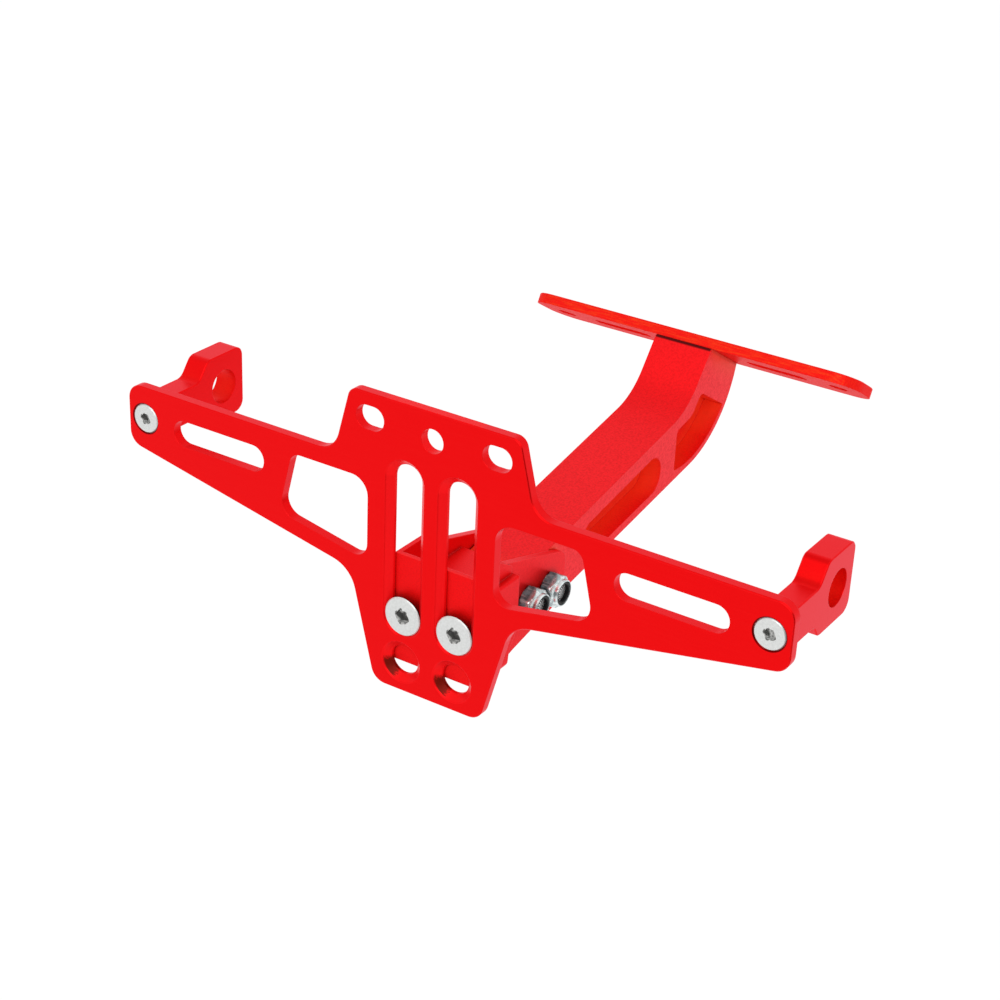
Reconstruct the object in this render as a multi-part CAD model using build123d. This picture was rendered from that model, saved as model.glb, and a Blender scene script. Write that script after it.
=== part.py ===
from build123d import *
import math
import os

os.makedirs("parts", exist_ok=True)

# Sizes in millimetres. X runs across the plate, Y back towards the motorcycle, Z up.
# Y = 0 is the front face of the plate carrier, Z = 0 the middle of its two long arm slots.

# Fasteners, to their usual standards
m8_radius = 4.0
m8_flat_head_radius = 8.0
m6_radius = 3.0
m6_flat_head_radius = 6.0
flat_head_land = 0.4
hex_socket_share = 0.34
hex_socket_depth_share = 0.45
button_head_radius = 7.0
button_head_height = 4.4
button_socket_radius = 2.9
button_socket_depth = 2.6
nut_flats = 13.0
nut_height = 7.5
nut_crown = 1.2
nut_collar_radius = 5.6
nut_collar_height = 2.0
nylon_reach = (3.6, 4.8)
nylon_height = 1.7
nylon_recess = 0.2
washer_radius = 7.5
washer_thickness = 1.6
plate_screw_length = 24.0
signal_screw_length = 18.0
nut_corner_relief = 0.1

# Clearances
running_clearance = 0.06
slot_clearance = 0.3
sliding_gap = 0.3
screw_slot_gap = 0.25
edge_break = 0.4
bolt_hole_clearance = 0.25
thread_countersink = 1.0
thread_relief = 0.5

# Plate carrier
carrier_thickness = 4.0
carrier_half_width = 145.5
carrier_top = 42.4
carrier_bottom = -76.9
head_half_width = 36.9
neck_half_width = 44.1
arm_top = 14.4
arm_end_bottom = -11.2
tongue_root = (36.1, -32.1)
tongue_half_width = 24.4
arm_slot_margin = 23.2
arm_slot_reach = (77.3, carrier_half_width - arm_slot_margin)
arm_slot_width = 11.0
window_inner = 28.2
window_top = 7.8
window_outer = (63.8, 70.2)
window_bottom_outer = -18.6
window_bottom_inner = -26.5
top_slot_centre = (27.6, 32.5)
top_slot_size = (12.6, 9.6)
top_hole_height = 31.2
top_hole_radius = 4.8

# Slots of the plate screws, countersunk along their whole length
screw_spread = 11.7
screw_height = -44.8
screw_slot_top = 11.4
screw_slot_radius = 6.1
head_depth = 0.1
countersink_radius = m8_flat_head_radius + flat_head_land + head_depth + screw_slot_gap
countersink_depth = countersink_radius - screw_slot_radius
lower_hole_height = -64.5

# Signal brackets
bracket_margin = 8.5
bracket_x = carrier_half_width - bracket_margin
bracket_thickness = 10.0
bracket_screw_height = 1.0
bracket_hole = (41.4, 2.0)
bracket_hole_radius = 7.2
bracket_thread_depth = signal_screw_length - carrier_thickness + thread_relief

# Hinge between the arm and the clamp block
pivot = (42.2, -47.4)
lock_radius = 15.4
lock_angle = -2.4
tilt_up = 25.0
tilt_down = 10.0
arm_width = 27.0
nose_clearance = 0.9
swing_margin = 2.0

# Clamp block
cheek_gap = arm_width / 2 + sliding_gap
cheek_half_width = 16.8
cheek_end = 70.0
cheek_end_reach = (-36.6, -57.0)
block_half_width = 21.0
block_top = -20.8
block_bottom = -66.5
block_depth = 29.5
collar_half_width = 18.0
collar_slope_start = 20.6
collar_end = (28.7, -25.4)
ledge_height = -28.9
front_wall = 1.8
side_wall = 1.8
pocket_floor = -33.5
screw_thread_end = 26.0

# Arm
arm_top_slope = 11.0
arm_bottom_slope = 9.6
arm_top_point = (78.0, -31.0)
arm_bottom_point = (78.0, -57.4)
riser_slope = 51.6
riser_point = (180.6, 0.8)
elbow_radius = 32.0
top_edge_radius = 1.2
heel_slope = -45.0
sweep_start_y = 176.0
sweep_radius = 46.0
pocket_depth = 9.3
middle_pocket_reach = (88.0, 150.0)
middle_pocket_inset = (6.8, 3.8)
rib_edge = 162.0
upper_pocket_inset = 5.2
riser_wall = 6.7
pocket_to_mount = 18.8
sweep_wall = 2.5

# Mounting plate under the tail of the motorcycle
mount_edge = (188.0, 9.0)
mount_slope = -30.5
mount_depth = 31.8
mount_thickness = 4.5
mount_half_width = 79.0
mount_corner_radius = 11.0
mount_hole_radius = 4.25
mount_hole_x = 67.0
mount_slot_reach = (24.0, 52.0)
mount_screw_places = (8.0, 23.0)
mount_screw_length = 16.0
mount_hole_relief = 1.0


def unit(degrees):
    return math.cos(math.radians(degrees)), math.sin(math.radians(degrees))


def line_height(point, slope, at):
    return point[1] + (at - point[0]) * math.tan(math.radians(slope))


def lines_meet(point_a, slope_a, point_b, slope_b):
    rise_a = math.tan(math.radians(slope_a))
    rise_b = math.tan(math.radians(slope_b))
    across = (point_b[1] - point_a[1] + rise_a * point_a[0] - rise_b * point_b[0]) / (rise_a - rise_b)
    return across, line_height(point_a, slope_a, across)


def rounded_face(corners):
    """A closed outline through corners (u, v, radius), each rounded by its own radius."""
    starts = []
    arcs = []
    count = len(corners)
    for index, (u, v, radius) in enumerate(corners):
        here = Vector(u, v)
        before = Vector(*corners[index - 1][:2])
        after = Vector(*corners[(index + 1) % count][:2])
        if radius <= 0:
            starts.append((here, here))
            arcs.append(None)
            continue
        back = (before - here).normalized()
        ahead = (after - here).normalized()
        half = math.acos(max(-1.0, min(1.0, back.dot(ahead)))) / 2
        reach = radius / math.tan(half)
        middle = (back + ahead).normalized()
        summit = here + middle * (radius / math.sin(half) - radius)
        starts.append((here + back * reach, here + ahead * reach))
        arcs.append(summit)
    edges = []
    for index in range(count):
        enter, leave = starts[index]
        if arcs[index] is not None:
            edges.append(ThreePointArc(enter, arcs[index], leave))
        following = starts[(index + 1) % count][0]
        if (following - leave).length > 1e-6:
            edges.append(Line(leave, following))
    return make_face(edges)


def along_x(face, low, high):
    """Extrudes a face drawn in Y and Z from x = low to x = high."""
    return extrude(Plane.YZ.offset(low) * face, high - low)


def along_y(face, low, high):
    """Extrudes a face drawn in X and Z from y = low to y = high."""
    return extrude(Plane.XZ.offset(-high) * face, high - low)


def mirrored(part):
    return mirror(part, about=Plane.YZ)


def stadium(centre, length, width, turn=0):
    return Pos(*centre) * Rot(0, 0, turn) * SlotOverall(length, width)


def revolved(profile, place):
    """Turns a profile of (radius, along) points about its own axis and sets it in place."""
    face = make_face(Polyline(*[(radius, 0, along) for radius, along in profile], close=True))
    return place * revolve(face, Axis.Z)


def flat_head_screw(radius, head_radius, length, place):
    """A countersunk socket screw: the head starts at z = 0 and the shank runs up Z."""
    cone_end = flat_head_land + head_radius - radius
    profile = [(0, 0), (head_radius - flat_head_land, 0), (head_radius, flat_head_land)]
    profile += [(radius, cone_end), (radius, length), (0, length)]
    socket_radius = head_radius * hex_socket_share / math.cos(math.radians(30))
    socket = extrude(RegularPolygon(socket_radius, 6), head_radius * hex_socket_depth_share)
    return revolved(profile, place) - place * socket


def named(part, name):
    part.label = name
    export_step(part, "parts/" + name + ".step")


# Plate carrier
right_side = [
    (head_half_width, carrier_top, 4.5),
    (neck_half_width, arm_top, 10.0),
    (carrier_half_width, arm_top, 6.5),
    (carrier_half_width, arm_end_bottom, 6.5),
    (tongue_root[0], tongue_root[1], 13.0),
    (tongue_half_width, carrier_bottom, 6.5),
]
left_side = [(-x, z, radius) for x, z, radius in reversed(right_side)]
plate_carrier = along_y(rounded_face(right_side + left_side), 0, carrier_thickness)
window = rounded_face([
    (window_inner, window_top, 7.5),
    (window_outer[0], window_top, 5.0),
    (window_outer[1], window_bottom_outer, 7.0),
    (window_inner, window_bottom_inner, 6.0),
])
arm_slot_middle = (arm_slot_reach[0] + arm_slot_reach[1]) / 2
arm_slot_length = arm_slot_reach[1] - arm_slot_reach[0]
screw_slot_middle = (screw_height + screw_slot_top) / 2
screw_slot_length = screw_slot_top - screw_height + 2 * screw_slot_radius
side_cuts = [
    window,
    stadium((arm_slot_middle, 0), arm_slot_length, arm_slot_width),
    stadium(top_slot_centre, top_slot_size[0], top_slot_size[1]),
]
for cut in side_cuts:
    tool = along_y(cut, 0, carrier_thickness)
    plate_carrier -= tool
    plate_carrier -= mirrored(tool)
plate_carrier -= along_y(Pos(0, top_hole_height) * Circle(top_hole_radius), 0, carrier_thickness)
plate_carrier = chamfer(plate_carrier.faces().sort_by(Axis.Y)[0].outer_wire().edges(), edge_break)
for side in (-1, 1):
    slot = stadium((side * screw_spread, screw_slot_middle), screw_slot_length, 2 * screw_slot_radius, 90)
    hole = Pos(side * screw_spread, lower_hole_height) * Circle(screw_slot_radius)
    for opening in (slot, hole):
        middle = opening.center()
        plate_carrier -= along_y(opening, 0, carrier_thickness)
        rim = [
            edge for edge in plate_carrier.edges()
            if abs(edge.center().Y) < 1e-4
            and abs(edge.center().X - middle.X) < screw_slot_radius + 0.1
            and abs(edge.center().Z - middle.Y) < opening.bounding_box().size.Y / 2 + 0.1
        ]
        plate_carrier = chamfer(rim, countersink_depth)
    countersink = [
        (0, 0),
        (m6_flat_head_radius + flat_head_land, 0),
        (m6_radius + edge_break, m6_flat_head_radius + flat_head_land - m6_radius - edge_break),
        (m6_radius + edge_break, carrier_thickness),
        (0, carrier_thickness),
    ]
    screw_place = Pos(side * bracket_x, 0, bracket_screw_height) * Rot(-90, 0, 0)
    plate_carrier -= revolved(countersink, screw_place)
named(plate_carrier, "plate_carrier")

# Signal brackets and their screws
bracket_face = rounded_face([
    (carrier_thickness, 8.5, 0),
    (26.3, 8.5, 5.0),
    (32.2, 16.3, 4.0),
    (53.4, 16.3, 4.0),
    (53.4, -12.0, 5.0),
    (29.4, -12.0, 3.0),
    (25.4, -6.5, 3.5),
    (carrier_thickness, -6.5, 0),
])
bracket_face -= Pos(*bracket_hole) * Circle(bracket_hole_radius)
half_bracket = bracket_thickness / 2
signal_bracket = along_x(bracket_face, bracket_x - half_bracket, bracket_x + half_bracket)
rim_edges = signal_bracket.faces().sort_by(Axis.X)[0].outer_wire().edges()
rim_edges += signal_bracket.faces().sort_by(Axis.X)[-1].outer_wire().edges()
signal_bracket = chamfer([edge for edge in rim_edges if edge.center().Y > carrier_thickness + 1], edge_break)
thread_place = Pos(bracket_x, carrier_thickness, bracket_screw_height) * Rot(-90, 0, 0)
signal_bracket -= thread_place * Cylinder(
    m6_radius, bracket_thread_depth, align=(Align.CENTER, Align.CENTER, Align.MIN)
)
named(signal_bracket, "signal_bracket_right")
named(mirrored(signal_bracket), "signal_bracket_left")
for side, name in ((-1, "left"), (1, "right")):
    place = Pos(side * bracket_x, 0, bracket_screw_height) * Rot(-90, 0, 0)
    named(flat_head_screw(m6_radius, m6_flat_head_radius, signal_screw_length, place), "signal_screw_" + name)

# Plate screws, which hold the carrier to the clamp block at any height of their slots
for side, name in ((-1, "left"), (1, "right")):
    place = Pos(side * screw_spread, head_depth, screw_height) * Rot(-90, 0, 0)
    named(flat_head_screw(m8_radius, m8_flat_head_radius, plate_screw_length, place), "plate_screw_" + name)

# Clamp block: a wide front body, a thin-walled collar above it, and two cheeks that take the arm's nose
lock = (pivot[0] + lock_radius * unit(lock_angle)[0], pivot[1] + lock_radius * unit(lock_angle)[1])
cheek_face = rounded_face([
    (carrier_thickness, block_top, 0),
    (14.5, block_top, 8.0),
    (cheek_end, cheek_end_reach[0], 6.0),
    (cheek_end, cheek_end_reach[1], 7.0),
    (34.0, -64.6, 3.0),
    (27.0, block_bottom, 3.0),
    (carrier_thickness, block_bottom, 0),
])
clamp_block = along_x(cheek_face, -cheek_half_width, cheek_half_width)
collar_face = rounded_face([
    (carrier_thickness, block_top, 0),
    (collar_slope_start, block_top, 3.0),
    (collar_end[0], collar_end[1], 1.0),
    (collar_end[0], pocket_floor, 0),
    (carrier_thickness, pocket_floor, 0),
])
clamp_block += along_x(collar_face, -collar_half_width, collar_half_width)
body_face = rounded_face([
    (block_half_width, ledge_height, 1.0),
    (block_half_width, block_bottom, 3.0),
    (-block_half_width, block_bottom, 3.0),
    (-block_half_width, ledge_height, 1.0),
])
body_side = rounded_face([
    (carrier_thickness, 0, 0),
    (block_depth, 0, 0),
    (block_depth, -52.0, 6.0),
    (24.5, -59.0, 6.0),
    (23.5, block_bottom, 3.0),
    (carrier_thickness, block_bottom, 0),
])
front_body = along_y(body_face, carrier_thickness, block_depth)
front_body &= along_x(body_side, -block_half_width, block_half_width)
clamp_block += front_body
nose_radius = line_height(arm_top_point, arm_top_slope, pivot[0]) - pivot[1]
nose_radius *= math.cos(math.radians(arm_top_slope))
nose_space = nose_radius + nose_clearance
nose_front = pivot[0] - nose_space
raised_top = arm_top_slope + tilt_up + swing_margin
raised_start = (pivot[0] - nose_space * unit(raised_top)[1], pivot[1] + nose_space * unit(raised_top)[0])
arm_space = rounded_face([
    (carrier_thickness + front_wall, pocket_floor, 3.0),
    (carrier_thickness + front_wall, 0, 0),
    (cheek_end + 1, 0, 0),
    (cheek_end + 1, block_bottom - 1, 0),
    (nose_front, block_bottom - 1, 0),
    (nose_front, pivot[1], 0),
    (pivot[0], pivot[1], 0),
    (raised_start[0], raised_start[1], 0),
    (pivot[0], line_height(raised_start, raised_top, pivot[0]), 0),
    (pivot[0], pocket_floor, 0),
])
arm_space += Pos(*pivot) * Circle(nose_space)
clamp_block -= along_x(arm_space, -cheek_gap, cheek_gap)
collar_space = rounded_face([
    (carrier_thickness + front_wall, pocket_floor, 3.0),
    (carrier_thickness + front_wall, 0, 0),
    (collar_end[0] - side_wall, 0, 0),
    (collar_end[0] - side_wall, pocket_floor, 0),
])
clamp_block -= along_x(collar_space, side_wall - collar_half_width, collar_half_width - side_wall)
for point in (pivot, lock):
    clamp_block -= along_x(Pos(*point) * Circle(m8_radius + bolt_hole_clearance), -block_half_width, block_half_width)
for side in (-1, 1):
    place = Pos(side * screw_spread, carrier_thickness, screw_height) * Rot(-90, 0, 0)
    thread_depth = screw_thread_end - carrier_thickness
    thread = [(0, 0), (m8_radius + thread_countersink, 0), (m8_radius, thread_countersink)]
    thread += [(m8_radius, thread_depth), (0, thread_depth)]
    clamp_block -= revolved(thread, place)
named(clamp_block, "clamp_block")

# Arm
slot_arc_start = lock_angle - tilt_up
slot_arc_size = tilt_up + tilt_down
heel_turn = math.radians(heel_slope - 90)
heel = (pivot[0] + nose_radius * math.cos(heel_turn), pivot[1] + nose_radius * math.sin(heel_turn))
nose_corner = lines_meet(heel, heel_slope, arm_top_point, arm_top_slope)
heel_corner = lines_meet(heel, heel_slope, arm_bottom_point, arm_bottom_slope)
elbow = lines_meet(arm_top_point, arm_top_slope, riser_point, riser_slope)
riser_end = lines_meet(riser_point, riser_slope, mount_edge, mount_slope)
tail = lines_meet(mount_edge, mount_slope, arm_bottom_point, arm_bottom_slope)
arm_reach = tail[0] + 1
blank = rounded_face([
    (nose_corner[0], nose_corner[1], nose_radius),
    (elbow[0], elbow[1], elbow_radius),
    (riser_end[0], riser_end[1], top_edge_radius),
    (tail[0], tail[1], 0),
    (heel_corner[0], heel_corner[1], 8.0),
])
sweep_start = (sweep_start_y, line_height(arm_bottom_point, arm_bottom_slope, sweep_start_y))
sweep_centre = (
    sweep_start[0] - sweep_radius * math.sin(math.radians(arm_bottom_slope)),
    sweep_start[1] + sweep_radius * math.cos(math.radians(arm_bottom_slope)),
)
sweep_corner = make_face(Polyline(
    sweep_start,
    (arm_reach, line_height(arm_bottom_point, arm_bottom_slope, arm_reach)),
    (arm_reach, sweep_centre[1] + sweep_radius),
    (sweep_centre[0] + 1, sweep_centre[1] + sweep_radius),
    sweep_centre,
    close=True,
))
arm_face = blank - (sweep_corner - Pos(*sweep_centre) * Circle(sweep_radius))
arm_face -= Pos(*pivot) * Circle(m8_radius + running_clearance)
slot_line = CenterArc(pivot, lock_radius, slot_arc_start, slot_arc_size)
arm_face -= SlotArc(slot_line, 2 * (m8_radius + slot_clearance))
arm = along_x(arm_face, -arm_width / 2, arm_width / 2)


def top_inset(at, inset):
    return line_height(arm_top_point, arm_top_slope, at) - inset


def bottom_inset(at, inset):
    return line_height(arm_bottom_point, arm_bottom_slope, at) + inset


middle_pocket = rounded_face([
    (middle_pocket_reach[0], top_inset(middle_pocket_reach[0], middle_pocket_inset[0]), 7.0),
    (middle_pocket_reach[1], top_inset(middle_pocket_reach[1], middle_pocket_inset[0]), 8.0),
    (middle_pocket_reach[1], bottom_inset(middle_pocket_reach[1], middle_pocket_inset[1]), 8.0),
    (middle_pocket_reach[0], bottom_inset(middle_pocket_reach[0], middle_pocket_inset[1]), 7.0),
])
down = unit(mount_slope - 90)
under_mount = (mount_edge[0] + pocket_to_mount * down[0], mount_edge[1] + pocket_to_mount * down[1])
inward = unit(riser_slope - 90)
pocket_riser = (riser_point[0] + riser_wall * inward[0], riser_point[1] + riser_wall * inward[1])
inset_top = (arm_top_point[0], arm_top_point[1] - upper_pocket_inset)
upper_left = lines_meet(inset_top, arm_top_slope, pocket_riser, riser_slope)
upper_top = lines_meet(pocket_riser, riser_slope, under_mount, mount_slope)
pocket_bottom = sweep_centre[1] - sweep_radius
pocket_back = sweep_centre[0] + sweep_radius
upper_pocket = rounded_face([
    (rib_edge, line_height(inset_top, arm_top_slope, rib_edge), 3.0),
    (upper_left[0], upper_left[1], 8.0),
    (upper_top[0], upper_top[1], 3.0),
    (pocket_back, line_height(under_mount, mount_slope, pocket_back), 0),
    (pocket_back, pocket_bottom, 0),
    (rib_edge, pocket_bottom, 0),
])
upper_pocket &= Pos(*sweep_centre) * Circle(sweep_radius - sweep_wall)
for side in (-1, 1):
    outer = side * arm_width / 2
    inner = side * (arm_width / 2 - pocket_depth)
    for face in (middle_pocket, upper_pocket):
        arm -= along_x(face, min(outer, inner), max(outer, inner))

# Mounting plate, drawn flat and then laid on the arm's sloping top
mount_place = Pos(0, *mount_edge) * Rot(mount_slope, 0, 0)
plan = Pos(0, mount_depth / 2) * RectangleRounded(2 * mount_half_width, mount_depth, mount_corner_radius)
mount_slot_middle = (mount_slot_reach[0] + mount_slot_reach[1]) / 2
mount_slot_length = mount_slot_reach[1] - mount_slot_reach[0]
for side in (-1, 1):
    plan -= Pos(side * mount_hole_x, mount_depth / 2) * Circle(mount_hole_radius)
    plan -= stadium((side * mount_slot_middle, mount_depth / 2), mount_slot_length, 2 * mount_hole_radius)
mount_plate = extrude(plan, mount_thickness)
mount_plate = chamfer(mount_plate.faces().sort_by(Axis.Z)[-1].outer_wire().edges(), edge_break)
for index, place in enumerate(mount_screw_places):
    screw_place = Pos(0, place, mount_thickness) * Rot(180, 0, 0)
    seat = [
        (0, 0),
        (m6_flat_head_radius, 0),
        (m6_flat_head_radius, flat_head_land),
        (m6_radius, flat_head_land + m6_flat_head_radius - m6_radius),
        (m6_radius, mount_screw_length + mount_hole_relief),
        (0, mount_screw_length + mount_hole_relief),
    ]
    hole = revolved(seat, screw_place)
    mount_plate -= hole
    arm -= mount_place * hole
    screw = flat_head_screw(m6_radius, m6_flat_head_radius, mount_screw_length, mount_place * screw_place)
    named(screw, "mount_screw_" + ("front", "back")[index])
named(mount_place * mount_plate, "mount_plate")
named(arm, "arm")

# Pivot and lock: bolts with a washer under the head, and self-locking nuts with a nylon ring
head_seat = cheek_half_width + washer_thickness
nylon_start = nut_height - nylon_recess - nylon_height
bolt_length = head_seat + cheek_half_width + nylon_start
for name, point in (("pivot", pivot), ("lock", lock)):
    along = Pos(0, *point) * Rot(0, 90, 0)
    bolt_profile = [
        (0, -button_head_height),
        (button_head_radius * 0.45, -button_head_height),
        (button_head_radius * 0.85, -button_head_height * 0.6),
        (button_head_radius, 0),
        (m8_radius, 0),
        (m8_radius, bolt_length),
        (0, bolt_length),
    ]
    bolt = revolved(bolt_profile, along * Pos(0, 0, -head_seat))
    socket = extrude(RegularPolygon(button_socket_radius, 6), button_socket_depth)
    bolt -= along * Pos(0, 0, -head_seat - button_head_height) * socket
    named(bolt, name + "_bolt")
    ring = Circle(washer_radius) - Circle(m8_radius)
    named(along * Pos(0, 0, -head_seat) * extrude(ring, washer_thickness), name + "_washer_head")
    hex_height = nut_height - nut_collar_height
    corner_radius = nut_flats / 2 / math.cos(math.radians(30))
    crown = [
        (0, 0),
        (corner_radius, 0),
        (corner_radius, hex_height - nut_crown),
        (nut_flats / 2 - nut_corner_relief, hex_height),
        (nut_collar_radius, hex_height),
        (nut_collar_radius, nut_height),
        (nylon_reach[1], nut_height),
        (nylon_reach[1], nylon_start),
        (0, nylon_start),
    ]
    nut = extrude(RegularPolygon(nut_flats / 2, 6, major_radius=False), nut_height)
    nut &= revolved(crown, Location())
    nut -= extrude(Circle(m8_radius), nut_height)
    named(along * Pos(0, 0, cheek_half_width) * nut, name + "_nut")
    nylon = extrude(Circle(nylon_reach[1]) - Circle(nylon_reach[0]), nylon_height)
    named(along * Pos(0, 0, cheek_half_width + nylon_start) * nylon, name + "_nut_ring")
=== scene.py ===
import math
import bpy
import numpy as np
from mathutils import Matrix, Vector


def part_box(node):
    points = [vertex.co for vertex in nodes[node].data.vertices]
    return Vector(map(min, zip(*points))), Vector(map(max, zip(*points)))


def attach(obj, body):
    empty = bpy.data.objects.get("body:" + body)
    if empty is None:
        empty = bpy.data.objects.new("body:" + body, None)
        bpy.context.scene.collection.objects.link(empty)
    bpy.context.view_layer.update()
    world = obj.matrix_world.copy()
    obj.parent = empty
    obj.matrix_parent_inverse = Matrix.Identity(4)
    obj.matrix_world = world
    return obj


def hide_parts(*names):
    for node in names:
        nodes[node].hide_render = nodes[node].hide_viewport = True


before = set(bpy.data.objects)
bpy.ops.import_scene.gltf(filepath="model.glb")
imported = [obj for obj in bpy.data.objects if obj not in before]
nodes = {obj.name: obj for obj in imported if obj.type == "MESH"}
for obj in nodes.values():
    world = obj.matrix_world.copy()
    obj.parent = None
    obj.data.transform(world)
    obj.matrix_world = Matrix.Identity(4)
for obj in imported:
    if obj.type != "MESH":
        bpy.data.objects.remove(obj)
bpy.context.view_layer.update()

scene = bpy.context.scene

# Camera, set up as the photograph was taken (metres and degrees)
photoCamera = {
    "place": (0.37783, -0.54876, 0.34510),
    "azimuth": 32.405,
    "elevation": 26.771,
    "roll": 2.545,
    "lens": 74.65,
    "sensor": 36.0,
    "clipStart": 0.01,
}


def addCamera(settings):
    azimuth = math.radians(settings["azimuth"])
    elevation = math.radians(settings["elevation"])
    roll = math.radians(settings["roll"])
    backward = Vector((
        math.sin(azimuth) * math.cos(elevation),
        -math.cos(azimuth) * math.cos(elevation),
        math.sin(elevation),
    ))
    level = Vector((math.cos(azimuth), math.sin(azimuth), 0.0))
    upright = backward.cross(level)
    rightward = math.cos(roll) * level + math.sin(roll) * upright
    upward = math.cos(roll) * upright - math.sin(roll) * level
    turn = Matrix((rightward, upward, backward)).transposed().to_4x4()
    data = bpy.data.cameras.new("photoCamera")
    data.lens = settings["lens"]
    data.sensor_width = settings["sensor"]
    data.clip_start = settings["clipStart"]
    camera = bpy.data.objects.new("photoCamera", data)
    camera.matrix_world = Matrix.Translation(settings["place"]) @ turn
    scene.collection.objects.link(camera)
    scene.camera = camera


addCamera(photoCamera)
print("camera placed")

noiseRange = (0.3, 0.7)  # most values of a noise lie in here
shadeSamples = 6  # rays from each point in search of edges and hollows


def startMaterial(name):
    material = bpy.data.materials.new(name)
    material.use_nodes = True
    tree = material.node_tree
    tree.nodes.clear()
    output = tree.nodes.new("ShaderNodeOutputMaterial")
    shader = tree.nodes.new("ShaderNodeBsdfPrincipled")
    tree.links.new(shader.outputs["BSDF"], output.inputs["Surface"])
    return material, tree, shader


def objectPlace(tree, place=(0, 0, 0), turn=(0, 0, 0), stretch=(1, 1, 1)):
    coordinates = tree.nodes.new("ShaderNodeTexCoord")
    mapping = tree.nodes.new("ShaderNodeMapping")
    mapping.vector_type = "TEXTURE"
    mapping.inputs["Location"].default_value = place
    mapping.inputs["Rotation"].default_value = turn
    mapping.inputs["Scale"].default_value = stretch
    tree.links.new(coordinates.outputs["Object"], mapping.inputs["Vector"])
    return mapping.outputs["Vector"]


def addNoise(tree, vector, perMetre, detail=3.0, roughness=0.55):
    noise = tree.nodes.new("ShaderNodeTexNoise")
    noise.inputs["Scale"].default_value = perMetre
    noise.inputs["Detail"].default_value = detail
    noise.inputs["Roughness"].default_value = roughness
    tree.links.new(vector, noise.inputs["Vector"])
    return noise.outputs["Fac"]


def spread(tree, value, fromLow, fromHigh, toLow, toHigh):
    ramp = tree.nodes.new("ShaderNodeMapRange")
    ramp.inputs["From Min"].default_value = fromLow
    ramp.inputs["From Max"].default_value = fromHigh
    ramp.inputs["To Min"].default_value = toLow
    ramp.inputs["To Max"].default_value = toHigh
    tree.links.new(value, ramp.inputs["Value"])
    return ramp.outputs["Result"]


# 1 where value is under limit and 0 over it, changing within soft on either side
def under(tree, value, limit, soft):
    return spread(tree, value, limit + soft, limit - soft, 0.0, 1.0)


def over(tree, value, limit, soft):
    return spread(tree, value, limit - soft, limit + soft, 0.0, 1.0)


def combine(tree, operation, valueA, valueB=0.0):
    node = tree.nodes.new("ShaderNodeMath")
    node.operation = operation
    for socket, value in zip(node.inputs, (valueA, valueB)):
        if isinstance(value, float):
            socket.default_value = value
        else:
            tree.links.new(value, socket)
    return node.outputs[0]


# Product of shares, so that a mark shows only where all of them do
def product(tree, share, *others):
    for other in others:
        share = combine(tree, "MULTIPLY", share, other)
    return share


def blendColours(tree, share, colourA, colourB):
    mix = tree.nodes.new("ShaderNodeMix")
    mix.data_type = "RGBA"
    for socket, colour in ((mix.inputs[6], colourA), (mix.inputs[7], colourB)):  # its two colour sockets
        if isinstance(colour, tuple):
            socket.default_value = (*colour, 1.0)
        else:
            tree.links.new(colour, socket)
    tree.links.new(share, mix.inputs[0])
    return mix.outputs[2]


def partOf(tree, vector, axis):
    parts = tree.nodes.new("ShaderNodeSeparateXYZ")
    tree.links.new(vector, parts.inputs[0])
    return parts.outputs[axis]


def vectorMath(tree, operation, vector, other=None):
    node = tree.nodes.new("ShaderNodeVectorMath")
    node.operation = operation
    tree.links.new(vector, node.inputs[0])
    if other is not None:
        node.inputs[1].default_value = other
    return node


def offsetFrom(tree, centre):
    coordinates = tree.nodes.new("ShaderNodeTexCoord")
    return vectorMath(tree, "SUBTRACT", coordinates.outputs["Object"], centre).outputs[0]


# How far along axis a point lies from centre
def axisDepth(tree, centre, axis):
    return vectorMath(tree, "DOT_PRODUCT", offsetFrom(tree, centre), axis).outputs["Value"]


# How far a point lies from the axis through centre
def axisDistance(tree, centre, axis):
    across = vectorMath(tree, "CROSS_PRODUCT", offsetFrom(tree, centre), axis).outputs[0]
    return vectorMath(tree, "LENGTH", across).outputs["Value"]


# Share of the painted highlight along the edges, from how far the rounded normal leans away from the true
# one, and that normal
def edgeHighlightShare(tree, radius, leanStart=0.995, leanEnd=0.93):
    bevel = tree.nodes.new("ShaderNodeBevel")
    bevel.samples = shadeSamples
    bevel.inputs["Radius"].default_value = radius
    geometry = tree.nodes.new("ShaderNodeNewGeometry")
    lean = vectorMath(tree, "DOT_PRODUCT", bevel.outputs["Normal"])
    tree.links.new(geometry.outputs["Normal"], lean.inputs[1])
    return spread(tree, lean.outputs["Value"], leanStart, leanEnd, 0.0, 1.0), bevel.outputs["Normal"]


# 0 on open faces, up to 1 where other faces stand closer than reach
def hollowShare(tree, reach, openEnd, deepEnd):
    hollow = tree.nodes.new("ShaderNodeAmbientOcclusion")
    hollow.samples = shadeSamples
    hollow.inputs["Distance"].default_value = reach
    return spread(tree, hollow.outputs["AO"], openEnd, deepEnd, 0.0, 1.0)


def addBump(tree, shader, height, distance, strength=1.0, normal=None):
    bump = tree.nodes.new("ShaderNodeBump")
    bump.inputs["Distance"].default_value = distance
    bump.inputs["Strength"].default_value = strength
    tree.links.new(height, bump.inputs["Height"])
    if normal is not None:
        tree.links.new(normal, bump.inputs["Normal"])
    tree.links.new(bump.outputs["Normal"], shader.inputs["Normal"])


def middleOf(nodeName):
    low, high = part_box(nodeName)
    return (low + high) / 2


# Middle of the node's front side, which is its lowest Y
def frontOf(nodeName):
    middle = middleOf(nodeName)
    return Vector((middle.x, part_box(nodeName)[0].y, middle.z))


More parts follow.
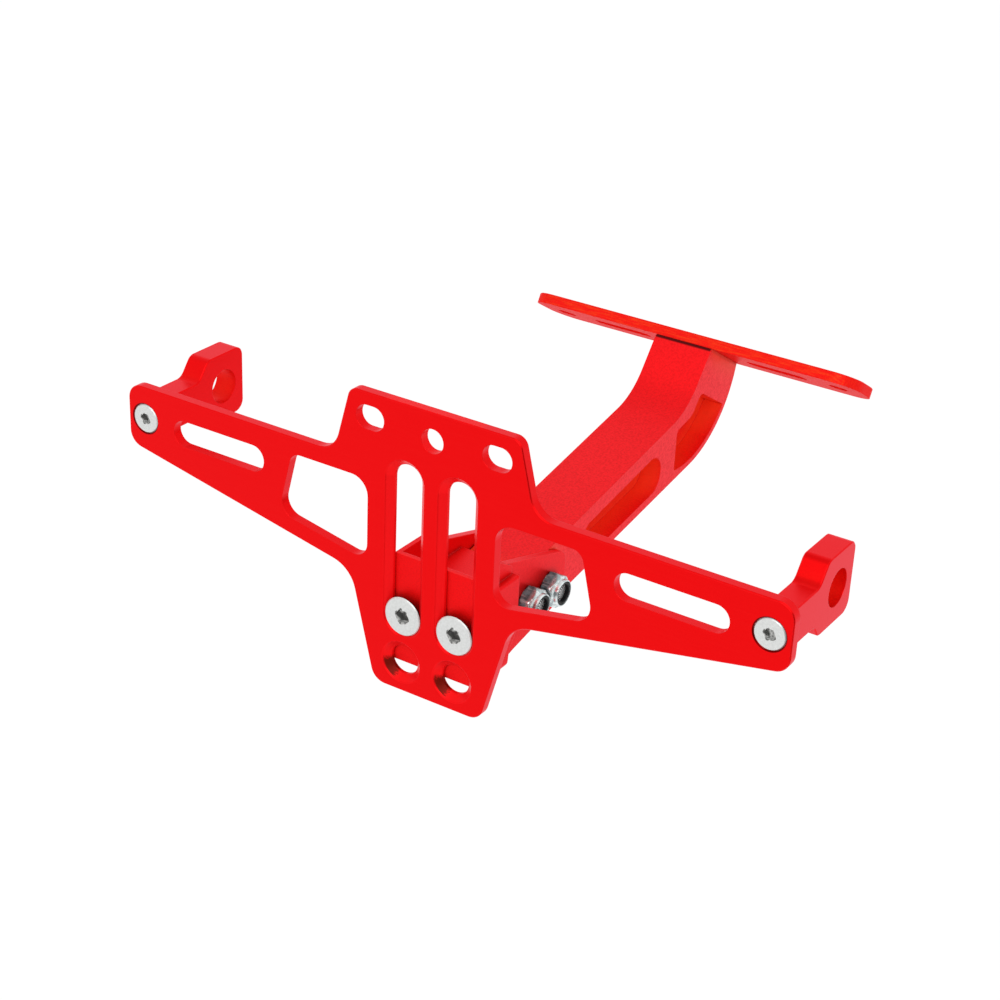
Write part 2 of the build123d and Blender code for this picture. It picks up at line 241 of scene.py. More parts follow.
# Underside of the mount plate, given by its front edge and the way up from it
mountSlope = math.radians(-30.5)
mountThickness = 0.0045
mountLow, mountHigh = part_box("mount_plate")
mountEdge = (0, mountLow.y, mountHigh.z - mountThickness * math.cos(mountSlope))
mountUp = (0, -math.sin(mountSlope), math.cos(mountSlope))
mountDown = (0, math.sin(mountSlope), -math.cos(mountSlope))

# Anodised reds. A range holds the two noise values between which a mark grows from nothing to its share.
plateRed = {
    "colour": (0.862, 0.0040, 0.0052),
    "deepColour": (0.78, 0.0028, 0.0036),
    "cloudPerMetre": 24.0,
    "cloudRange": (0.30, 0.75),
    "cloudShare": 0.14,
    "grainPerMetre": 3400.0,
    "grainRange": (0.40, 0.68),
    "grainShare": 0.16,
    "grainDepth": 0.000006,
    "lineColour": (0.90, 0.012, 0.010),
    "linesPerMetre": 900.0,
    "lineStretch": 14.0,
    "lineRange": (0.45, 0.70),
    "lineShare": 0.10,
    "roughness": 0.34,
    "roughnessSpread": 0.06,
    "metallic": 0.86,
    "specular": 0.06,
    "grazingTint": (1.0, 0.82, 0.90),
    # Painted shade in the hollows
    "pocketLightAndShadeColour": (0.82, 0.0042, 0.0050),
    "pocketMetallic": 0.86,
    "pocketReach": 0.005,
    "pocketOpen": 0.85,
    "pocketDeep": 0.45,
    # Painted shade in creases and gaps
    "creviceShadeColour": (0.16, 0.0010, 0.0010),
    "creviceReach": 0.0012,
    "creviceOpen": 0.62,
    "creviceDeep": 0.30,
    # Painted highlight along the edges
    "edgeHighlightColour": (0.90, 0.014, 0.016),
    "edgeRadius": 0.00030,
}
bracketRed = dict(
    plateRed,
    # Painted bounce light, a brighter orange, in the hollows
    pocketLightAndShadeColour=(0.98, 0.0360, 0.0120),
    pocketMetallic=0.30,
    pocketReach=0.012,
)
blockRed = dict(
    plateRed,
    colour=(0.94, 0.0062, 0.0080),
    deepColour=(0.66, 0.0030, 0.0040),
    grainPerMetre=1700.0,
    grainShare=0.40,
    roughness=0.42,
    metallic=0.76,
    specular=0.10,
    # Painted shade in the hollows
    pocketLightAndShadeColour=(0.84, 0.0085, 0.0065),
    pocketMetallic=0.45,
    pocketReach=0.010,
    # Painted shade in creases and gaps
    creviceShadeColour=(0.34, 0.0020, 0.0015),
    creviceReach=0.0042,
    creviceOpen=0.72,
    creviceDeep=0.32,
    # Painted highlight along the edges
    edgeHighlightColour=(0.98, 0.0400, 0.0420),
    edgeRadius=0.0005,
)
armRed = dict(
    plateRed,
    colour=(0.985, 0.0085, 0.0120),
    deepColour=(0.70, 0.0035, 0.0048),
    grainPerMetre=1150.0,
    grainShare=0.58,
    grainDepth=0.000036,
    roughness=0.44,
    roughnessSpread=0.14,
    metallic=0.66,
    specular=0.20,
    grazingTint=(1.0, 0.90, 1.0),
    # Painted bounce light, a brighter orange, in the hollows
    pocketLightAndShadeColour=(1.0, 0.0660, 0.0190),
    pocketMetallic=0.10,
    pocketReach=0.016,
    # Painted shade, a darker orange, in creases and gaps
    creviceShadeColour=(0.80, 0.0200, 0.0060),
)
mountRed = dict(
    armRed,
    colour=(0.93, 0.013, 0.0075),
    grainShare=0.34,
    # Orange lines, partly drawn lines and partly a painted highlight along the front edge
    lineColour=(0.95, 0.090, 0.0120),
    linesPerMetre=1900.0,
    lineShare=0.46,
    highlightBandDepth=0.0024,
    highlightBandFade=0.0004,
    lineBehind=0.22,
    metallic=0.60,
    grazingTint=(1.0, 0.30, 0.36),
    # Painted shade in the hollows
    pocketLightAndShadeColour=(0.50, 0.0050, 0.0040),
    pocketMetallic=0.60,
    pocketReach=0.002,
)

# Painted shade: dark rings round the signal screws and the shaded side of the lower holes. Painted light:
# the walls of the screw slots, made matt, and the lower holes are painted a lighter red
carrierPaintedLightAndShade = {
    # Painted shade: a dark ring round each signal screw
    "screwShadeRing": 0.00655,
    "holeRadius": 0.0090,
    "holeDrop": 0.0197,
    # Painted light: a lighter red on the slot walls and the lower holes
    "holePaintedLightColour": (0.93, 0.0070, 0.0090),
    "wallReach": 0.0206,
    "wallMetallic": 0.30,
    "rimSoft": 0.0001,
    "frontDepth": 0.00025,
    "faceDepth": 0.00045,
    "depthSoft": 0.00015,
    "backDepth": 0.00015,
    "backSoft": 0.00005,
    # Painted shade on the shaded side of the lower holes
    "shadeColour": (0.17, 0.0070, 0.0025),
    "shadeTo": (-0.80, 0.0, -0.60),
    "shadeRange": (0.80, 0.93),
    "streaksPerMetre": 900.0,
    "streakStretch": 0.15,
    "streakShift": 0.06,
}

# Painted shadow of the mount plate: a dark band on the arm's front, right under it
armMountShadow = {
    "colour": (0.10, 0.0010, 0.0010),
    "near": 0.0008,
    "far": 0.0015,
    "sideShare": 0.22,
    "cornerStart": 0.0001,
    "cornerEnd": 0.0004,
}


# Share of lines drawn along X; where a depth is given they are strongest in a band along the front edge,
# partly as a painted highlight there, and fainter behind it
def drawnLines(tree, place, settings):
    stretched = objectPlace(tree, stretch=(settings["lineStretch"], 1.0, 1.0))
    lines = addNoise(tree, stretched, settings["linesPerMetre"], detail=2.0, roughness=0.5)
    share = spread(tree, lines, *settings["lineRange"], 0.0, settings["lineShare"])
    # A band along the front edge holds a painted highlight
    if "highlightBandDepth" in settings:
        end = mountLow.y + settings["highlightBandDepth"]
        behind = end + settings["highlightBandFade"]
        highlightBand = spread(tree, partOf(tree, place, "Y"), end, behind, 1.0, settings["lineBehind"])
        share = product(tree, share, highlightBand)
    return share


# Painted light and shade by distance from each axis; the painted shaded side is where (way towards
# shadeTo) / distance is near 1
def addCarrierPaintedLightAndShade(tree, base, ringShadeColour, paintedLightAndShade):
    place = objectPlace(tree)
    depth = partOf(tree, place, "Y")
    aside = combine(tree, "ABSOLUTE", partOf(tree, place, "X"))
    low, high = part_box("plate_carrier")
    behindFront = over(tree, depth, low.y + paintedLightAndShade["frontDepth"], paintedLightAndShade["depthSoft"])
    beforeBack = under(tree, depth, high.y - paintedLightAndShade["backDepth"], paintedLightAndShade["backSoft"])
    onFace = under(tree, depth, low.y + paintedLightAndShade["faceDepth"], paintedLightAndShade["depthSoft"])
    wall = product(tree, under(tree, aside, paintedLightAndShade["wallReach"], paintedLightAndShade["rimSoft"]), behindFront, beforeBack)
    # Slot walls painted a lighter red, painted light
    base = blendColours(tree, wall, base, paintedLightAndShade["holePaintedLightColour"])
    for side in ("_left", "_right"):
        distance = axisDistance(tree, frontOf("signal_screw" + side), (0, 1, 0))
        # Painted shade ring round the signal screw
        ring = product(tree, under(tree, distance, paintedLightAndShade["screwShadeRing"], paintedLightAndShade["rimSoft"]), onFace)
        base = blendColours(tree, ring, base, ringShadeColour)
        centre = frontOf("plate_screw" + side) - Vector((0, 0, paintedLightAndShade["holeDrop"]))
        distance = axisDistance(tree, centre, (0, 1, 0))
        hole = product(tree, under(tree, distance, paintedLightAndShade["holeRadius"], paintedLightAndShade["rimSoft"]), beforeBack)
        # Lower holes painted a lighter red, painted light
        base = blendColours(tree, hole, base, paintedLightAndShade["holePaintedLightColour"])
        lean = combine(tree, "DIVIDE", axisDepth(tree, centre, paintedLightAndShade["shadeTo"]), distance)
        stretched = objectPlace(tree, stretch=(1.0, paintedLightAndShade["streakStretch"], 1.0))
        streaks = addNoise(tree, stretched, paintedLightAndShade["streaksPerMetre"], detail=2.0, roughness=0.5)
        shift = spread(tree, streaks, *noiseRange, -paintedLightAndShade["streakShift"], paintedLightAndShade["streakShift"])
        shade = spread(tree, combine(tree, "ADD", lean, shift), *paintedLightAndShade["shadeRange"], 0.0, 1.0)
        deep = over(tree, axisDepth(tree, centre, (0, 1, 0)), paintedLightAndShade["frontDepth"], paintedLightAndShade["depthSoft"])
        # Painted shade on the shaded side of the lower hole
        base = blendColours(tree, product(tree, shade, hole, deep), base, paintedLightAndShade["shadeColour"])
    return base, wall


# Painted shadow under the mount plate: grows with the height towards its underside, and is fainter on the
# arm's sides
def addMountShadow(tree, place, base, mountShadow):
    height = axisDepth(tree, mountEdge, mountUp)
    share = spread(tree, height, -mountShadow["far"], -mountShadow["near"], 0.0, 1.0)
    aside = combine(tree, "ABSOLUTE", partOf(tree, place, "X"))
    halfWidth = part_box("arm")[1].x
    sideLine, frontLine = halfWidth - mountShadow["cornerStart"], halfWidth - mountShadow["cornerEnd"]
    share = product(tree, share, spread(tree, aside, sideLine, frontLine, mountShadow["sideShare"], 1.0))
    return blendColours(tree, share, base, mountShadow["colour"])


def redAnodised(name, settings, mountShadow=None, paintedLightAndShade=None):
    material, tree, shader = startMaterial(name)
    place = objectPlace(tree)
    cloud = addNoise(tree, place, settings["cloudPerMetre"], detail=3.0, roughness=0.5)
    clouded = spread(tree, cloud, *settings["cloudRange"], 0.0, settings["cloudShare"])
    base = blendColours(tree, clouded, settings["colour"], settings["deepColour"])
    base = blendColours(tree, drawnLines(tree, place, settings), base, settings["lineColour"])
    grain = addNoise(tree, place, settings["grainPerMetre"], detail=2.0, roughness=0.6)
    grained = spread(tree, grain, *settings["grainRange"], 0.0, settings["grainShare"])
    base = blendColours(tree, grained, base, settings["deepColour"])
    # Painted light and shade in the hollows, where ambient occlusion finds other faces near
    pocket = hollowShare(tree, settings["pocketReach"], settings["pocketOpen"], settings["pocketDeep"])
    base = blendColours(tree, pocket, base, settings["pocketLightAndShadeColour"])
    # Painted highlight along the edges
    edge, rounded = edgeHighlightShare(tree, settings["edgeRadius"])
    base = blendColours(tree, edge, base, settings["edgeHighlightColour"])
    # Painted shade in creases and gaps
    creviceShade = hollowShare(tree, settings["creviceReach"], settings["creviceOpen"], settings["creviceDeep"])
    base = blendColours(tree, creviceShade, base, settings["creviceShadeColour"])
    metallic = spread(tree, pocket, 0.0, 1.0, settings["metallic"], settings["pocketMetallic"])
    # Painted shadow of the mount plate on the arm
    if mountShadow:
        base = addMountShadow(tree, place, base, mountShadow)
    if paintedLightAndShade:
        base, wall = addCarrierPaintedLightAndShade(tree, base, settings["creviceShadeColour"], paintedLightAndShade)
        metallic = product(tree, metallic, spread(tree, wall, 0.0, 1.0, 1.0, paintedLightAndShade["wallMetallic"]))
    tree.links.new(base, shader.inputs["Base Color"])
    tree.links.new(metallic, shader.inputs["Metallic"])
    low = settings["roughness"] - settings["roughnessSpread"] / 2
    high = settings["roughness"] + settings["roughnessSpread"] / 2
    tree.links.new(spread(tree, grain, *noiseRange, low, high), shader.inputs["Roughness"])
    shader.inputs["Specular IOR Level"].default_value = settings["specular"]
    shader.inputs["Specular Tint"].default_value = (*settings["grazingTint"], 1.0)
    addBump(tree, shader, grain, settings["grainDepth"], normal=rounded)
    return material


# Steel of the screws and bolts. Threads and rings are counted along the radius.
steelFinish = {
    "colour": (0.74, 0.75, 0.74),
    "darkColour": (0.55, 0.56, 0.55),
    "mottlePerMetre": 900.0,
    "mottleRange": (0.35, 0.75),
    "mottleShare": 0.5,
    # Painted shade and painted highlights in the socket
    "socketShadeColour": (0.12, 0.12, 0.115),
    "socketHighlightColour": (0.92, 0.92, 0.90),
    "socketMetallic": 0.10,
    "burrPerMetre": 340.0,
    "socketHighlightRange": (0.44, 0.58),
    "burrReach": 0.0012,
    "burrStart": 0.0006,
    "burrSoft": 0.0001,
    "headSoft": 0.001,
    # Tip painted in bright and dark rings, painted highlights and shade
    "tipHighlightColour": (0.92, 0.92, 0.92),
    "tipShadeColour": (0.05, 0.05, 0.05),
    "tipStart": 0.0003,
    "tipFull": 0.0002,
    "threadsPerMetre": 1100.0,
    "threadSoft": 0.3,
    "ringsPerMetre": 1622.0,
    "ringDistortion": 1.2,
    "ringDepth": 0.000006,
    "roughness": 0.46,
    "roughnessSpread": 0.14,
    "metallic": 0.80,
}
socketRadii = {"plate_screw": 0.0032, "signal_screw": 0.0024, "mount_screw": 0.0024, "bolt": 0.0029}

# Reach of each mount screw from the plate's front edge, along its top
mountScrewReach = {"mount_screw_front": 0.008, "mount_screw_back": 0.023}
mountScrewLength = 0.016
waveRadians = 20.0  # what a wave texture turns through over a length of 1 / its scale


# Turned rings round the screw's axis, a torn hex socket in blotches of painted shade and painted highlight
# that reach ragged into its face, and a tip painted in bright and dark rings as highlights and shade
def turnedSteel(name, settings, face, axis, socketRadius, length):
    material, tree, shader = startMaterial(name)
    turn = Vector((0, 0, 1)).rotation_difference(Vector(axis)).to_euler()
    place = objectPlace(tree, face, turn)
    rings = tree.nodes.new("ShaderNodeTexWave")
    rings.wave_type = "RINGS"
    rings.rings_direction = "Z"
    rings.inputs["Scale"].default_value = settings["ringsPerMetre"] * math.tau / waveRadians
    rings.inputs["Distortion"].default_value = settings["ringDistortion"]
    rings.inputs["Detail"].default_value = 2.0
    tree.links.new(place, rings.inputs["Vector"])
    mottle = addNoise(tree, place, settings["mottlePerMetre"], detail=4.0, roughness=0.6)
    mottled = spread(tree, mottle, *settings["mottleRange"], 0.0, settings["mottleShare"])
    base = blendColours(tree, mottled, settings["colour"], settings["darkColour"])
    burr = addNoise(tree, place, settings["burrPerMetre"], detail=2.0, roughness=0.5)
    socketHighlightShare = spread(tree, burr, *settings["socketHighlightRange"], 0.0, 1.0)
    # Socket painted in blotches of shade and highlight
    socket = blendColours(tree, socketHighlightShare, settings["socketShadeColour"], settings["socketHighlightColour"])
    distance = axisDistance(tree, face, axis)
    depth = axisDepth(tree, face, axis)
    ragged = combine(tree, "ADD", distance, spread(tree, burr, *noiseRange, 0.0, settings["burrReach"]))
    edge = socketRadius + settings["burrStart"]
    inSocket = spread(tree, ragged, edge, edge - settings["burrSoft"], 0.0, 1.0)
    inHead = spread(tree, depth, length / 2, length / 2 - settings["headSoft"], 0.0, 1.0)
    inside = product(tree, inSocket, inHead)
    base = blendColours(tree, inside, base, socket)
    turns = combine(tree, "MULTIPLY", distance, settings["threadsPerMetre"] * math.tau)
    threadShadeShare = over(tree, combine(tree, "SINE", turns), 0.0, settings["threadSoft"])
    # Painted highlights and shade in rings on the tip
    tipLightAndShade = blendColours(tree, threadShadeShare, settings["tipHighlightColour"], settings["tipShadeColour"])
    inTip = spread(tree, depth, length - settings["tipStart"], length - settings["tipFull"], 0.0, 1.0)
    base = blendColours(tree, inTip, base, tipLightAndShade)
    tree.links.new(base, shader.inputs["Base Color"])
    metallic = spread(tree, inside, 0.0, 1.0, settings["metallic"], settings["socketMetallic"])
    tree.links.new(metallic, shader.inputs["Metallic"])
    low = settings["roughness"] - settings["roughnessSpread"] / 2
    high = settings["roughness"] + settings["roughnessSpread"] / 2
    tree.links.new(spread(tree, mottle, *noiseRange, low, high), shader.inputs["Roughness"])
    addBump(tree, shader, rings.outputs["Fac"], settings["ringDepth"], strength=0.6)
    return material


# Plating of the lock nuts, painted lit and shaded: a painted highlight on the crown and collar and painted
# shade on the flanks; crownRange is measured from the seat
nutFinish = {
    # Flanks in painted shade
    "colour": (0.14, 0.27, 0.29),
    "darkColour": (0.055, 0.105, 0.114),
    # Crown and collar painted bright as a highlight
    "crownHighlightColour": (0.84, 0.92, 0.92),
    "crownHighlightDark": (0.36, 0.43, 0.44),
    "crownRange": (0.0032, 0.0044),
    "stainPerMetre": 260.0,
    "stainRange": (0.40, 0.62),
    # White lines, partly drawn lines and partly painted highlight streaks
    "lineColour": (0.90, 0.96, 0.96),
    "linesPerMetre": 700.0,
    "lineStretch": 6.0,
    "lineRange": (0.52, 0.70),
    "lineShare": 0.40,
    "crownLineRange": (0.54, 0.64),
    "crownLineShare": 0.9,
    "lineHeight": 0.000010,
    "scuffPerMetre": 3000.0,
    "scuffRange": (0.3, 0.75),
    "roughnessLow": 0.20,
    "roughnessHigh": 0.36,
    "metallic": 0.0,
    "crownMetallic": 0.72,
    "specular": 0.40,
}


# Blue-grey flanks in painted shade, with lines along the bolt that are partly drawn lines and partly
# painted white highlight streaks, and a shinier crown and collar painted bright as a highlight
def platedZinc(name, settings, seat):
    material, tree, shader = startMaterial(name)
    place = objectPlace(tree)
    stretched = objectPlace(tree, stretch=(settings["lineStretch"], 1.0, 1.0))
    lines = addNoise(tree, stretched, settings["linesPerMetre"], detail=3.0, roughness=0.6)
    stain = addNoise(tree, place, settings["stainPerMetre"], detail=3.0, roughness=0.55)
    scuff = addNoise(tree, place, settings["scuffPerMetre"], detail=2.0, roughness=0.5)
    stained = spread(tree, stain, *settings["stainRange"], 0.0, 1.0)
    # Flank painted darker as shade
    shadedFlank = blendColours(tree, stained, settings["darkColour"], settings["colour"])
    lined = spread(tree, lines, *settings["lineRange"], 0.0, settings["lineShare"])
    shadedFlank = blendColours(tree, lined, shadedFlank, settings["lineColour"])
    # Crown and collar painted lit as a highlight
    litCrown = blendColours(tree, stained, settings["crownHighlightDark"], settings["crownHighlightColour"])
    lined = spread(tree, lines, *settings["crownLineRange"], 0.0, settings["crownLineShare"])
    litCrown = blendColours(tree, lined, litCrown, settings["lineColour"])
    crown = spread(tree, axisDepth(tree, seat, (1, 0, 0)), *settings["crownRange"], 0.0, 1.0)
    tree.links.new(blendColours(tree, crown, shadedFlank, litCrown), shader.inputs["Base Color"])
    metallic = spread(tree, crown, 0.0, 1.0, settings["metallic"], settings["crownMetallic"])
    tree.links.new(metallic, shader.inputs["Metallic"])
    low, high = settings["roughnessLow"], settings["roughnessHigh"]
    tree.links.new(spread(tree, scuff, *settings["scuffRange"], low, high), shader.inputs["Roughness"])
    shader.inputs["Specular IOR Level"].default_value = settings["specular"]
    addBump(tree, shader, lines, settings["lineHeight"], strength=0.6)
    return material


nylonFinish = {
    "colour": (0.0030, 0.0030, 0.0034),
    "paleColour": (0.0080, 0.0080, 0.0090),
    "grainPerMetre": 1800.0,
    "grainDepth": 0.00001,
    "roughnessLow": 0.29,
    "roughnessHigh": 0.42,
    "specular": 0.16,
}


def blackNylon(name, settings):
    material, tree, shader = startMaterial(name)
    grain = addNoise(tree, objectPlace(tree), settings["grainPerMetre"], detail=3.0, roughness=0.6)
    share = spread(tree, grain, *noiseRange, 0.0, 1.0)
    base = blendColours(tree, share, settings["colour"], settings["paleColour"])
    tree.links.new(base, shader.inputs["Base Color"])
    low, high = settings["roughnessLow"], settings["roughnessHigh"]
    tree.links.new(spread(tree, grain, *noiseRange, low, high), shader.inputs["Roughness"])
    shader.inputs["Specular IOR Level"].default_value = settings["specular"]
    addBump(tree, shader, grain, settings["grainDepth"], strength=0.6)
    return material


def dress(nodeName, material):
    mesh = nodes[nodeName].data
    for index in range(len(mesh.materials)):
        mesh.materials[index] = material
    if not len(mesh.materials):
        mesh.materials.append(material)


dress("plate_carrier", redAnodised("plate_carrierRed", plateRed, paintedLightAndShade=carrierPaintedLightAndShade))
dress("signal_bracket_left", redAnodised("signal_bracket_leftRed", bracketRed))
dress("signal_bracket_right", redAnodised("signal_bracket_rightRed", bracketRed))
dress("clamp_block", redAnodised("clamp_blockRed", blockRed))
dress("arm", redAnodised("armRed", armRed, mountShadow=armMountShadow))
dress("mount_plate", redAnodised("mount_plateRed", mountRed))
for kind in ("plate_screw", "signal_screw"):
    for side in ("_left", "_right"):
        name = kind + side
        low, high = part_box(name)
        radius, length = socketRadii[kind], high.y - low.y
        dress(name, turnedSteel(name + "Steel", steelFinish, frontOf(name), (0, 1, 0), radius, length))
for name, reach in mountScrewReach.items():
    face = (0, mountLow.y + reach * math.cos(mountSlope), mountHigh.z + reach * math.sin(mountSlope))
    radius = socketRadii["mount_screw"]
    dress(name, turnedSteel(name + "Steel", steelFinish, face, mountDown, radius, mountScrewLength))
for name in ("pivot", "lock"):
    low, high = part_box(name + "_bolt")
    centre = middleOf(name + "_bolt")
    face = (low.x, centre.y, centre.z)
    radius = socketRadii["bolt"]
    steel = turnedSteel(name + "BoltSteel", steelFinish, face, (1, 0, 0), radius, high.x - low.x)
    dress(name + "_bolt", steel)
    dress(name + "_washer_head", steel)
print("materials dressed")


# Closed surface: each point of a profile (along X, radius) is carried round the axis through centre,
# at Y = centre + radius x cos(angle) and Z = centre + radius x sin(angle). The profile runs up the
# outside and back down the inside, and the radius may change with the angle.
def addTurned(name, node, centre, along, radius, angle, material, sharpAngle=30.0):
    radius = np.broadcast_to(radius, (len(along), len(angle)))
    across = centre.y + radius * np.cos(angle)
    upward = centre.z + radius * np.sin(angle)
    points = np.stack(np.broadcast_arrays(along[:, None], across, upward), axis=-1).reshape(-1, 3)
    index = np.arange(radius.size).reshape(radius.shape)
    nextRow = np.roll(index, -1, axis=0)
    corners = (index, np.roll(index, -1, axis=1), np.roll(nextRow, -1, axis=1), nextRow)
    faces = np.stack(corners, axis=-1).reshape(-1, 4)
    mesh = bpy.data.meshes.new(name)
    mesh.from_pydata(points.tolist(), [], faces.tolist())
    mesh.shade_smooth()
    mesh.set_sharp_from_angle(angle=math.radians(sharpAngle))
    mesh.materials.append(material)
    piece = bpy.data.objects.new(name, mesh)
    scene.collection.objects.link(piece)
    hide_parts(node)
    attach(piece, "clamp_body")


# Self-locking nuts, with a domed crown and a collar crimped over the nylon
lockNut = {
    "flats": 0.013,
    "seatRadius": 0.0063,
    "seatChamfer": 0.0008,
    "cornerRadius": 0.0076,
    "domeStart": 0.0032,
    "domeEnd": 0.0060,
    "domeFall": 1.9,
    "domeRound": 0.75,
    "domeSteps": 22,
    "collarRadius": 0.0055,
    "curl": 0.0006,
    "curlSteps": 8,
    "recessRadius": 0.00485,
    "recessStart": 0.0056,
    "boreRadius": 0.0040,
    "steps": 144,
}


# Radius = the smaller of a hexagon, flats / 2 / cos(angle from the flat's middle), and the turned crown.
# The crown swells out from the collar by (1 - t^domeFall)^domeRound, t from 0 to 1, and the collar's lip
# is a quarter circle.
def addLockNut(name, node, settings, material):
    low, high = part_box(node)
    height = high.x - low.x
    angle = np.linspace(0, 2 * np.pi, settings["steps"], endpoint=False) - np.pi / 2
    hexagon = settings["flats"] / 2 / np.cos(np.mod(angle + np.pi / 2, np.pi / 3) - np.pi / 6)
    dome = np.linspace(0, 1, settings["domeSteps"])
    curl = np.linspace(0, np.pi / 2, settings["curlSteps"])
    swell = (1 - dome ** settings["domeFall"]) ** settings["domeRound"]
    bulge = settings["cornerRadius"] - settings["collarRadius"]
    recess, bore = settings["recessRadius"], settings["boreRadius"]
    outsideAlong = np.concatenate((
        [0, settings["seatChamfer"]],
        settings["domeStart"] + (settings["domeEnd"] - settings["domeStart"]) * dome,
        height - settings["curl"] * (1 - np.sin(curl)),
    ))
    turned = np.concatenate((
        [settings["seatRadius"], settings["cornerRadius"]],
        settings["collarRadius"] + bulge * swell,
        settings["collarRadius"] - settings["curl"] * (1 - np.cos(curl)),
    ))
    outside = np.minimum(turned[:, None], hexagon)
    inside = np.broadcast_to(np.array([recess, recess, bore, bore])[:, None], (4, len(angle)))
    insideAlong = [height - settings["curl"] / 4, settings["recessStart"], settings["recessStart"], 0]
    along = low.x + np.concatenate((outsideAlong, insideAlong))
    radius = np.concatenate((outside, inside))
    addTurned(name, node, middleOf(node), along, radius, angle, material)


# Nylon rings of the nuts
nylonRing = {
    "inner": 0.0036,
    "outer": 0.0048,
    "crown": 0.00045,
    "crownSteps": 10,
    "steps": 96,
}


# The crown is an arch over half a turn of t: radius = middle + half width x cos(t) and
# X = top - crown x (1 - sin(t)). The sides run straight down to the ring's foot.
def addNylonRing(name, node, settings, material):
    low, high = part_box(node)
    middle = (settings["inner"] + settings["outer"]) / 2
    half = (settings["outer"] - settings["inner"]) / 2
    arch = np.linspace(0, np.pi, settings["crownSteps"])
    radius = np.concatenate(([settings["outer"]], middle + half * np.cos(arch), [settings["inner"]]))
    along = np.concatenate(([low.x], high.x - settings["crown"] * (1 - np.sin(arch)), [low.x]))
    angle = np.linspace(0, 2 * np.pi, settings["steps"], endpoint=False)
    centre = middleOf(node)
    addTurned(name, node, centre, along, radius[:, None], angle, material, sharpAngle=60.0)


nylon = blackNylon("blackNylon", nylonFinish)
for name in ("pivot", "lock"):
    centre = middleOf(name + "_nut")
    seat = (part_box(name + "_nut")[0].x, centre.y, centre.z)
    addLockNut(name + "LockNut", name + "_nut", lockNut, platedZinc(name + "NutZinc", nutFinish, seat))
    addNylonRing(name + "NylonRing", name + "_nut_ring", nylonRing, nylon)
print("nuts and nylon rings made")

# Studio
studio = {
    "floorHeight": -0.30,
    "floorSize": 6.0,
    "floorTone": 0.9,
    "floorGlow": 1.06,
    "floorGlowShare": 0.86,
    "worldStrength": 0.80,
    "ceilingStrength": 0.72,
    "ceilingStart": 0.76,
    "ceilingEnd": 0.93,
    "keyPower": 9.0,
    "keyPlace": (0.5, -1.2, 1.1),
    "keyTarget": (0.0, 0.06, -0.01),
    "keySize": 1.2,
    "cardPlace": (0.52, -0.31, -0.08),
    "cardSize": (0.30, 0.44),
    "cardTone": 0.02,
    "cardRoughness": 0.9,
}


# 1 for camera, glossy and transmission rays, 0 for the rays that light the object
def seenDirectly(tree):
    path = tree.nodes.new("ShaderNodeLightPath")
    share = path.outputs["Is Camera Ray"]
    for other in ("Is Glossy Ray", "Is Transmission Ray"):
        share = combine(tree, "MAXIMUM", share, path.outputs[other])
    return share


def addFloor(settings):
    half = settings["floorSize"] / 2
    height = settings["floorHeight"]
    mesh = bpy.data.meshes.new("floor")
    corners = [(-half, -half, height), (half, -half, height), (half, half, height), (-half, half, height)]
    mesh.from_pydata(corners, [], [(0, 1, 2, 3)])
    floor = bpy.data.objects.new("floor", mesh)
    scene.collection.objects.link(floor)
    material = bpy.data.materials.new("paleFloor")
    material.use_nodes = True
    tree = material.node_tree
    tree.nodes.clear()
    output = tree.nodes.new("ShaderNodeOutputMaterial")
    matt = tree.nodes.new("ShaderNodeBsdfDiffuse")
    matt.inputs["Color"].default_value = (*[settings["floorTone"]] * 3, 1.0)
    glow = tree.nodes.new("ShaderNodeEmission")
    glow.inputs["Strength"].default_value = settings["floorGlow"]
    mix = tree.nodes.new("ShaderNodeMixShader")
    share = spread(tree, seenDirectly(tree), 0.0, 1.0, 0.0, settings["floorGlowShare"])
    tree.links.new(share, mix.inputs[0])
    tree.links.new(matt.outputs[0], mix.inputs[1])
    tree.links.new(glow.outputs[0], mix.inputs[2])
    tree.links.new(mix.outputs[0], output.inputs["Surface"])
    mesh.materials.append(material)


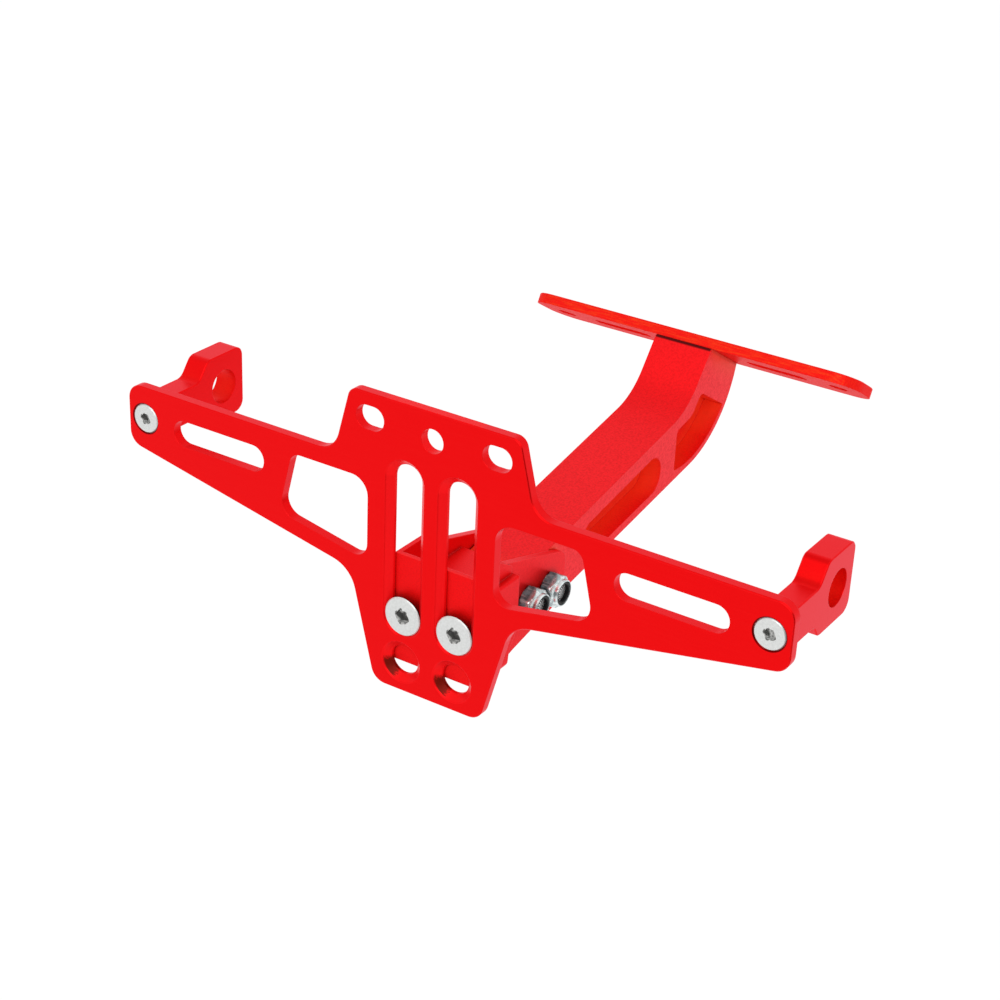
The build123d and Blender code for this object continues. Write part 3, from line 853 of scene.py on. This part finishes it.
# A dark card beside the camera, seen in reflections alone, gives the plate's right edges their dark line
def addDarkCard(settings):
    width, height = settings["cardSize"]
    place = Vector(settings["cardPlace"])
    outward = Vector((place.x, place.y, 0.0)).normalized()
    sideways = Vector((0, 0, 1)).cross(outward) * (width / 2)
    upward = Vector((0, 0, height / 2))
    corners = [place - sideways - upward, place + sideways - upward]
    corners += [place + sideways + upward, place - sideways + upward]
    mesh = bpy.data.meshes.new("darkCard")
    mesh.from_pydata([tuple(corner) for corner in corners], [], [(0, 1, 2, 3)])
    material, _, shader = startMaterial("darkCard")
    shader.inputs["Base Color"].default_value = (*[settings["cardTone"]] * 3, 1.0)
    shader.inputs["Roughness"].default_value = settings["cardRoughness"]
    mesh.materials.append(material)
    card = bpy.data.objects.new("darkCard", mesh)
    scene.collection.objects.link(card)
    card.visible_camera = False
    card.visible_diffuse = False
    card.visible_shadow = False
    card.visible_transmission = False


# White where it is seen, a little darker overhead, and at worldStrength where it lights the object
def addWorld(settings):
    world = bpy.data.worlds.new("studioWorld")
    world.use_nodes = True
    tree = world.node_tree
    tree.nodes.clear()
    output = tree.nodes.new("ShaderNodeOutputWorld")
    background = tree.nodes.new("ShaderNodeBackground")
    background.inputs["Color"].default_value = (1.0, 1.0, 1.0, 1.0)
    direction = tree.nodes.new("ShaderNodeTexCoord")
    height = partOf(tree, direction.outputs["Generated"], "Z")
    ceilingRange = (settings["ceilingStart"], settings["ceilingEnd"])
    ceiling = spread(tree, height, *ceilingRange, 1.0, settings["ceilingStrength"])
    strength = tree.nodes.new("ShaderNodeMix")
    strength.data_type = "FLOAT"
    strength.inputs[2].default_value = settings["worldStrength"]
    tree.links.new(ceiling, strength.inputs[3])
    tree.links.new(seenDirectly(tree), strength.inputs[0])
    tree.links.new(strength.outputs[0], background.inputs["Strength"])
    tree.links.new(background.outputs[0], output.inputs["Surface"])
    scene.world = world


def addKeyLamp(settings):
    data = bpy.data.lights.new("keyLamp", "AREA")
    data.energy = settings["keyPower"]
    data.size = settings["keySize"]
    lamp = bpy.data.objects.new("keyLamp", data)
    direction = Vector(settings["keyTarget"]) - Vector(settings["keyPlace"])
    turn = direction.to_track_quat("-Z", "Y").to_matrix().to_4x4()
    lamp.matrix_world = Matrix.Translation(settings["keyPlace"]) @ turn
    scene.collection.objects.link(lamp)


addFloor(studio)
addDarkCard(studio)
addWorld(studio)
addKeyLamp(studio)
scene.view_settings.view_transform = "Standard"
print("studio set")
